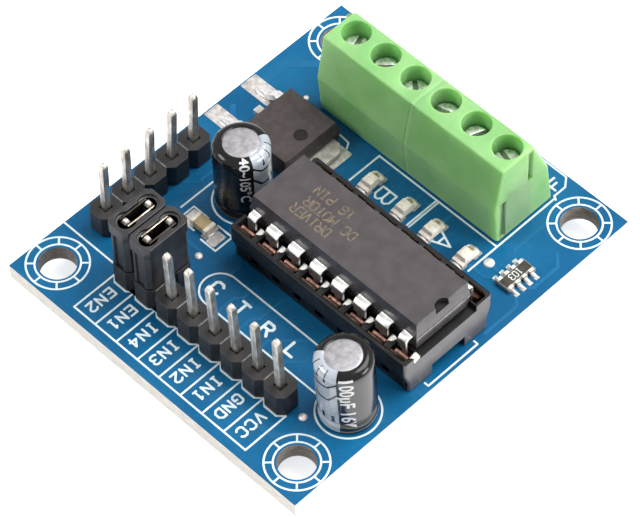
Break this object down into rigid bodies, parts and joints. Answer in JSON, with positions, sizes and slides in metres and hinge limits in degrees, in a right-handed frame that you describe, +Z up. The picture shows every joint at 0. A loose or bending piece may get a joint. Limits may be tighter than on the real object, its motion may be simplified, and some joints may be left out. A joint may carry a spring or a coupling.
{
  "type": "dc motor driver module",
  "caption": "Blue circuit board that drives small direct-current motors, with a socketed driver chip, pin headers, jumper caps, green screw terminals, a regulator and capacitors.",
  "frame": {"origin": "centre of the circuit board's underside", "axes": "+X along the row of control pins from the enable end to the supply end, +Y from the control pins towards the screw terminals, +Z up out of the board"},
  "size_m": [0.034, 0.0394, 0.0123],
  "materials": {
    "board": "semi-gloss blue solder mask on pale glass-epoxy board",
    "black_nylon": "moulded black nylon, faint moulding grain",
    "chip_epoxy": "matt black moulding compound",
    "terminal_nylon": "light green moulded nylon with a soft sheen",
    "tinned_metal": "bright tin plate",
    "plated_steel": "zinc-plated steel",
    "spring_bronze": "bright spring bronze",
    "can_sleeve": "glossy black shrunk sleeve over an aluminium can",
    "bung_rubber": "matt black rubber",
    "led_resin": "cloudy cream resin",
    "capacitor_ceramic": "fired tan ceramic with tinned ends",
    "array_glaze": "black glaze with tinned terminals"
  },
  "bodies": {
    "module": {"circuit_board": "board", "control_header_base": "black_nylon", "control_pin_1": "tinned_metal", "control_pin_2": "tinned_metal", "control_pin_3": "tinned_metal", "control_pin_4": "tinned_metal", "control_pin_5": "tinned_metal", "control_pin_6": "tinned_metal", "control_pin_7": "tinned_metal", "control_pin_8": "tinned_metal", "jumper_header_base": "black_nylon", "jumper_pin_1": "tinned_metal", "jumper_pin_2": "tinned_metal", "power_header_base": "black_nylon", "power_pin_1": "tinned_metal", "power_pin_2": "tinned_metal", "power_pin_3": "tinned_metal", "power_pin_4": "tinned_metal", "power_pin_5": "tinned_metal", "jumper_cap_1": "black_nylon", "jumper_cap_2": "black_nylon", "jumper_clip_1": "spring_bronze", "jumper_clip_2": "spring_bronze", "ic_socket": "black_nylon", "driver_ic": "chip_epoxy", "terminal_housing_1": "terminal_nylon", "terminal_housing_2": "terminal_nylon", "solder_strip_1": "tinned_metal", "solder_strip_2": "tinned_metal", "solder_strip_3": "tinned_metal", "solder_strip_4": "tinned_metal", "solder_strip_5": "tinned_metal", "solder_strip_6": "tinned_metal", "capacitor_can_1": "can_sleeve", "capacitor_can_2": "can_sleeve", "capacitor_bung_1": "bung_rubber", "capacitor_bung_2": "bung_rubber", "regulator_body": "chip_epoxy", "regulator_tab": "tinned_metal", "regulator_lead_1": "tinned_metal", "regulator_lead_2": "tinned_metal", "led_1": "led_resin", "led_2": "led_resin", "led_3": "led_resin", "led_4": "led_resin", "chip_capacitor": "capacitor_ceramic", "resistor_array": "array_glaze"},
    "screw_1": {"terminal_screw_1": "plated_steel"},
    "screw_2": {"terminal_screw_2": "plated_steel"},
    "screw_3": {"terminal_screw_3": "plated_steel"},
    "screw_4": {"terminal_screw_4": "plated_steel"},
    "screw_5": {"terminal_screw_5": "plated_steel"},
    "screw_6": {"terminal_screw_6": "plated_steel"},
    "cage_1": {"wire_cage_1": "plated_steel"},
    "cage_2": {"wire_cage_2": "plated_steel"},
    "cage_3": {"wire_cage_3": "plated_steel"},
    "cage_4": {"wire_cage_4": "plated_steel"},
    "cage_5": {"wire_cage_5": "plated_steel"},
    "cage_6": {"wire_cage_6": "plated_steel"}
  },
  "joints": [
    {"name": "screw_1_turn", "type": "hinge", "parent": "module", "child": "screw_1", "pos_m": [-0.00845, 0.0131, 0.0071], "axis": [0, 0, -1], "range_deg": [0, 1350]},
    {"name": "screw_2_turn", "type": "hinge", "parent": "module", "child": "screw_2", "pos_m": [-0.00495, 0.0131, 0.0071], "axis": [0, 0, -1], "range_deg": [0, 1350]},
    {"name": "screw_3_turn", "type": "hinge", "parent": "module", "child": "screw_3", "pos_m": [-0.00145, 0.0131, 0.0071], "axis": [0, 0, -1], "range_deg": [0, 1350]},
    {"name": "screw_4_turn", "type": "hinge", "parent": "module", "child": "screw_4", "pos_m": [0.00205, 0.0131, 0.0071], "axis": [0, 0, -1], "range_deg": [0, 1350]},
    {"name": "screw_5_turn", "type": "hinge", "parent": "module", "child": "screw_5", "pos_m": [0.00555, 0.0131, 0.0071], "axis": [0, 0, -1], "range_deg": [0, 1350]},
    {"name": "screw_6_turn", "type": "hinge", "parent": "module", "child": "screw_6", "pos_m": [0.00905, 0.0131, 0.0071], "axis": [0, 0, -1], "range_deg": [0, 1350]},
    {"name": "cage_1_lift", "type": "slide", "parent": "module", "child": "cage_1", "axis": [0, 0, 1], "range_m": [0, 0.0015]},
    {"name": "cage_2_lift", "type": "slide", "parent": "module", "child": "cage_2", "axis": [0, 0, 1], "range_m": [0, 0.0015]},
    {"name": "cage_3_lift", "type": "slide", "parent": "module", "child": "cage_3", "axis": [0, 0, 1], "range_m": [0, 0.0015]},
    {"name": "cage_4_lift", "type": "slide", "parent": "module", "child": "cage_4", "axis": [0, 0, 1], "range_m": [0, 0.0015]},
    {"name": "cage_5_lift", "type": "slide", "parent": "module", "child": "cage_5", "axis": [0, 0, 1], "range_m": [0, 0.0015]},
    {"name": "cage_6_lift", "type": "slide", "parent": "module", "child": "cage_6", "axis": [0, 0, 1], "range_m": [0, 0.0015]}
  ],
  "couplings": [
    {"joint": "screw_1_turn", "follows": "cage_1_lift", "rad_per_m": 15708},
    {"joint": "screw_2_turn", "follows": "cage_2_lift", "rad_per_m": 15708},
    {"joint": "screw_3_turn", "follows": "cage_3_lift", "rad_per_m": 15708},
    {"joint": "screw_4_turn", "follows": "cage_4_lift", "rad_per_m": 15708},
    {"joint": "screw_5_turn", "follows": "cage_5_lift", "rad_per_m": 15708},
    {"joint": "screw_6_turn", "follows": "cage_6_lift", "rad_per_m": 15708}
  ]
}
